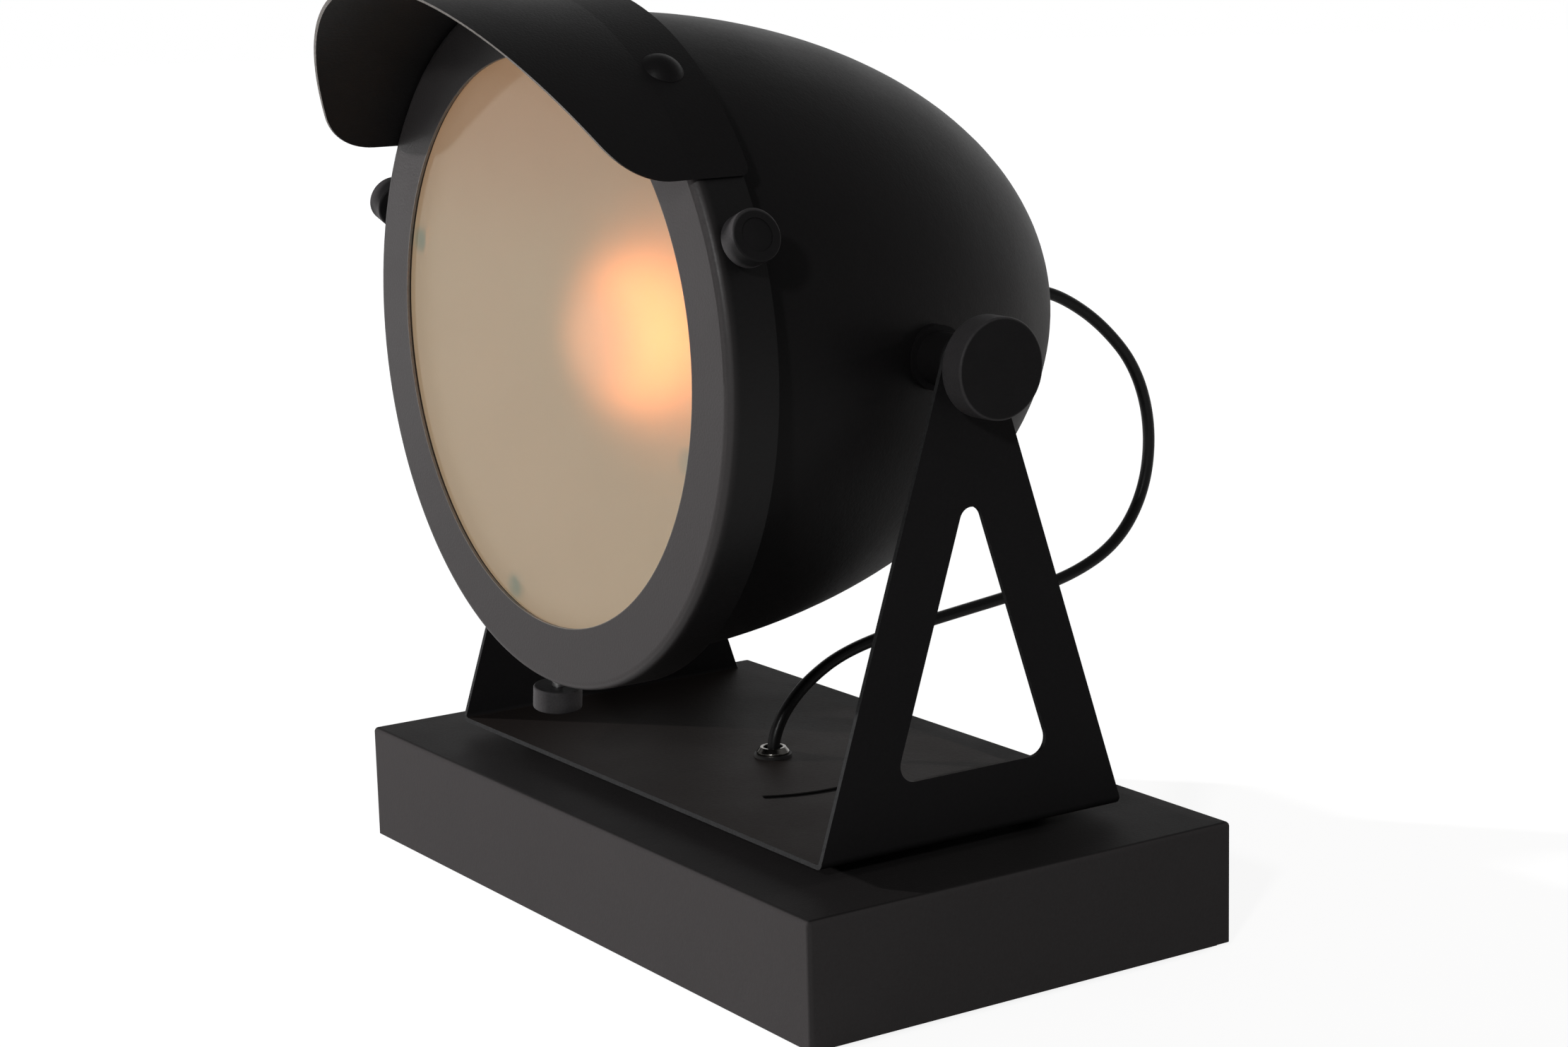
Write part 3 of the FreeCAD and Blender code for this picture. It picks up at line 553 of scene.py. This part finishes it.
def ring_coat():
    """Graphite on the face, black on the skirt, a painted highlight on the rounding, and painted warm light
    from the glass on the inner edge.
    """
    coat = new_finish("ring_coat")
    grain, cloud, blotch = coat_texture(coat)
    glass_low, glass_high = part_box("front_glass")
    opening = glass_high.x - glass_inside_ring
    off_axis = distance_from(coat, (glass_low + glass_high) / 2, (1, 0, 1))
    # Painted light: the inner lip is painted pale and warm, for the lit glass's glow falling on it.
    lip = step(coat, off_axis, opening, opening + lip_depth, 1, 0)
    ring_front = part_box("bezel_ring")[0][1]
    skirt = step(coat, axis_value(coat, 1), *[ring_front + far for far in skirt_behind_face])
    # Painted highlight: the rounding between face and skirt is painted paler.
    rounding = facing(coat, forward, *rounding_outside) * (1 - facing(coat, forward, *rounding_inside))
    paint = coat.shade(skirt, coat.shade(blotch, *ring_face), coat.shade(blotch, *ring_skirt))
    outside = coat.shade(rounding, paint, coat.shade(blotch, *ring_rounding_highlight))
    return coat.surface(
        Base_Color=coat.shade(lip, outside, coat.shade(grain, *ring_lip_glow)),
        Roughness=uneven(0.42, grain, cloud, 0.12),
        Normal=coat.relief(grain, worn_grain_depth),
        Specular_IOR_Level=0.24,
    )


dress(ring_coat(), "bezel_ring")
dress(rubber, "glass_seal")
dress(zinc, "glass_clips", "thumb_weld_nuts")


# The glass is a flat disc, frosted warm white on its inner face, held against
# the ring's seal by four spring clips. The bulb's warm light in it is painted on as a glow, painted darker
# toward the top as shade under the visor, and the clips' shadows are painted on as faint marks.
frost_white = ((0.42, 0.42, 0.39), (0.48, 0.48, 0.44))
frost_cloud = 0.06
frost_grain = 0.0007
frost_grain_depth = 0.00002
frost_glow = (0.157, 0.112, 0.069)
frost_glow_shaded_top = (0.142, 0.082, 0.044)
top_above_middle = (0.02, 0.1)
clip_angles = (18, 108, 198, 288)
clip_reach = 0.0095
clip_shadow = (0.085, 0.09, 0.066)
clip_shadow_fade = (0.0025, 0.0075)


def frosted_glass():
    frost = new_finish("frosted_glass")
    low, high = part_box("front_glass")
    middle = (low + high) / 2
    to_clip = high.x - middle.x - clip_reach
    # Painted shadows: darker, greener marks in the glow where the four clips sit behind the glass.
    clip_shadows = 0.0
    for angle in clip_angles:
        aside = math.sin(math.radians(angle)) * to_clip
        above = math.cos(math.radians(angle)) * to_clip
        away = distance_from(frost, middle + Vector((aside, 0, above)), (1, 0, 1))
        clip_shadows = step(frost, away, *clip_shadow_fade, 1, 0) + clip_shadows
    # Painted shade: toward the top the glow is painted darker and more orange, as under the visor.
    upper = step(frost, axis_value(frost, 2), *[middle.z + height for height in top_above_middle])
    # Painted light: the glass glows with the bulb's light, though the glass itself is no lamp.
    light = frost.shade(upper, frost_glow, frost_glow_shaded_top)
    return frost.surface(
        Base_Color=frost.shade(frost.noise(frost_cloud), *frost_white),
        Roughness=0.62,
        Transmission_Weight=0.88,
        Emission_Color=frost.shade(clip_shadows, light, clip_shadow),
        Emission_Strength=1.0,
        IOR=1.2,
        Specular_IOR_Level=0.5,
        Specular_Tint=(0, 0, 0, 1),
        Normal=frost.relief(frost.noise(frost_grain), frost_grain_depth),
    )


dress(frosted_glass(), "front_glass")


# The visor is a curved sheet bolted to the skirt with two domed screws, painted
# as the shell is.
visor_black = ((0.0062, 0.0058, 0.0061), (0.0125, 0.0117, 0.012))
visor_edge_highlight = ((0.06, 0.056, 0.053), (0.24, 0.225, 0.21))
visor_edge = (0.62, 0.8)


def visor_coat():
    """The black coat, with a painted highlight along the front-facing edge of the sheet."""
    coat = new_finish("visor_coat")
    grain, cloud, blotch = coat_texture(coat)
    paint = coat.shade(blotch, *visor_black)
    # Painted highlight: the front-facing edge is painted pale, where the front lamps catch it.
    edge_highlight = coat.shade(grain, *visor_edge_highlight)
    return coat.surface(
        Base_Color=coat.shade(facing(coat, forward, *visor_edge), paint, edge_highlight),
        Roughness=uneven(0.46, grain, cloud),
        Normal=coat.relief(grain, worn_grain_depth),
        Specular_IOR_Level=0.1,
    )


dress(visor_coat(), "visor")
dress(black_coat, "visor_bolts")
dress(zinc, "visor_nuts")


# Three thumb screws run through the skirt and press on the shell. Their round
# heads are moulded in black plastic on bright steel shanks.
for place in ("right", "left", "lower"):
    dress(gripped_plastic(place + "_thumb_head"), place + "_thumb_head")
    dress(zinc, place + "_thumb_stud")


# The studio has a pale floor, and a white backdrop that the camera and the shiny
# pieces see. A lamp low in front, left of the camera, lights the ring and the
# base. A weaker one stands higher, nearer the camera, and a warm one behind.
floor_reach = 8.0
floor_drop = 0.0003
floor_sides = 96
floor_grey = 0.55
floor_grey_seen = 0.25
floor_fade = (0.4, 2.2)
floor_whiteness = (0.88, 0.97)
floor_mirrored = 0.15
room_dim = 0.18
room_least = 0.14
room_fade = (0.4, 0.97)
toward_backdrop = (-0.68, 0.68, -0.27)
lamp_distance = 4.0
lamp_aim = Vector((0, 0, 0.22))

floor_mesh = bmesh.new()
bmesh.ops.create_circle(floor_mesh, cap_ends=True, segments=floor_sides, radius=floor_reach)
bmesh.ops.translate(floor_mesh, verts=floor_mesh.verts, vec=(0, 0, -floor_drop))
floor_data = bpy.data.meshes.new("studio_floor")
floor_mesh.to_mesh(floor_data)
floor_mesh.free()
floor = bpy.data.objects.new("studio_floor", floor_data)
bpy.context.scene.collection.objects.link(floor)


def light_path(finish, ray):
    """1 for one kind of ray: what the camera sees, or what a reflection shows."""
    return finish.node("ShaderNodeLightPath", out=ray)


def seen_by_camera(finish):
    """1 for what the camera sees, also through the glass."""
    return light_path(finish, "Is Camera Ray").top(light_path(finish, "Is Transmission Ray"))


def backdrop_in(finish):
    """Reflections show the backdrop white, and the room in front of it dim."""
    sockets = {0: finish.spot(), 1: toward_backdrop}
    along = finish.node("ShaderNodeVectorMath", {"operation": "DOT_PRODUCT"}, sockets, out="Value")
    return step(finish, along, *room_fade, room_dim)


pale = new_finish("studio_floor")
seen = seen_by_camera(pale)
mirrored = light_path(pale, "Is Glossy Ray")
fading = step(pale, distance_from(pale, (0, 0, 0), (1, 1, 1)), *floor_fade, *floor_whiteness)
matt_colour = pale.shade(seen, [floor_grey] * 3, [floor_grey_seen] * 3)
matt = pale.node("ShaderNodeBsdfDiffuse", {}, {"Color": matt_colour})
whiteness = (seen * fading).top(mirrored * floor_mirrored)
white = pale.node("ShaderNodeEmission", {}, {"Color": (1, 1, 1, 1), "Strength": whiteness})
both = pale.node("ShaderNodeAddShader", {}, {0: matt, 1: white})
pale.node("ShaderNodeOutputMaterial", {}, {"Surface": both})
floor_data.materials.append(pale.owner)

world = bpy.data.worlds.new("studio")
bpy.context.scene.world = world
sky = Finish(world)
room = light_path(sky, "Is Glossy Ray") * backdrop_in(sky)
strength = seen_by_camera(sky).top(room).top(room_least)
backdrop = sky.node("ShaderNodeBackground", {}, {"Color": (1, 1, 1, 1), "Strength": strength})
sky.node("ShaderNodeOutputWorld", {}, {"Surface": backdrop})


def direction(turn, rise):
    """The way to a lamp or to the camera: turn goes from the object's front to its right."""
    return Vector((
        math.sin(turn) * math.cos(rise),
        -math.cos(turn) * math.cos(rise),
        math.sin(rise),
    ))


def studio_lamp(name, turn, rise, level, size, colour, glints):
    """A round lamp, with its turn and rise in degrees."""
    away_from = direction(math.radians(turn), math.radians(rise))
    lamp = bpy.data.lights.new(name, "AREA")
    lamp.shape = "DISK"
    lamp.size = size
    lamp.energy = level * (math.pi * lamp_distance) ** 2
    lamp.color = colour
    stand = bpy.data.objects.new(name, lamp)
    stand.location = lamp_aim + away_from * lamp_distance
    stand.rotation_euler = away_from.to_track_quat("Z", "Y").to_euler()
    stand.visible_glossy = glints
    stand.visible_transmission = glints
    bpy.context.scene.collection.objects.link(stand)


studio_lamp("left_lamp", -51, 9.3, 1.5, 0.12, (1, 0.985, 0.985), False)
studio_lamp("right_lamp", 39.4, 23.6, 0.3, 0.3, (1, 1, 1), True)
studio_lamp("rear_lamp", 176, 8, 0.42, 0.3, (1, 0.95, 0.91), False)


# The camera stands where the photograph was taken from. Its turn, rise, roll
# and place were worked out from the base's corners, the ring and the shell.
camera_turn = math.radians(56.561)
camera_rise = math.radians(11.261)
camera_roll = math.radians(-1.469)
camera_place = (1.1078, -0.7228, 0.4261)
photo_width = 2220
focal_pixels = 4454.3
sensor_width = 36.0

back = direction(camera_turn, camera_rise)
right = Vector(up).cross(back).normalized()
above = back.cross(right)
rolled_right = right * math.cos(camera_roll) + above * math.sin(camera_roll)
rolled_up = above * math.cos(camera_roll) - right * math.sin(camera_roll)
camera_data = bpy.data.cameras.new("camera")
camera_data.sensor_width = sensor_width
camera_data.lens = sensor_width * focal_pixels / photo_width
camera_data.clip_start = 0.01
camera_data.clip_end = 100.0
camera = bpy.data.objects.new("camera", camera_data)
turned = Matrix((rolled_right, rolled_up, back)).transposed().to_4x4()
camera.matrix_world = Matrix.Translation(camera_place) @ turned
bpy.context.scene.collection.objects.link(camera)
bpy.context.scene.camera = camera
bpy.context.scene.view_settings.view_transform = "Standard"

bpy.context.view_layer.update()
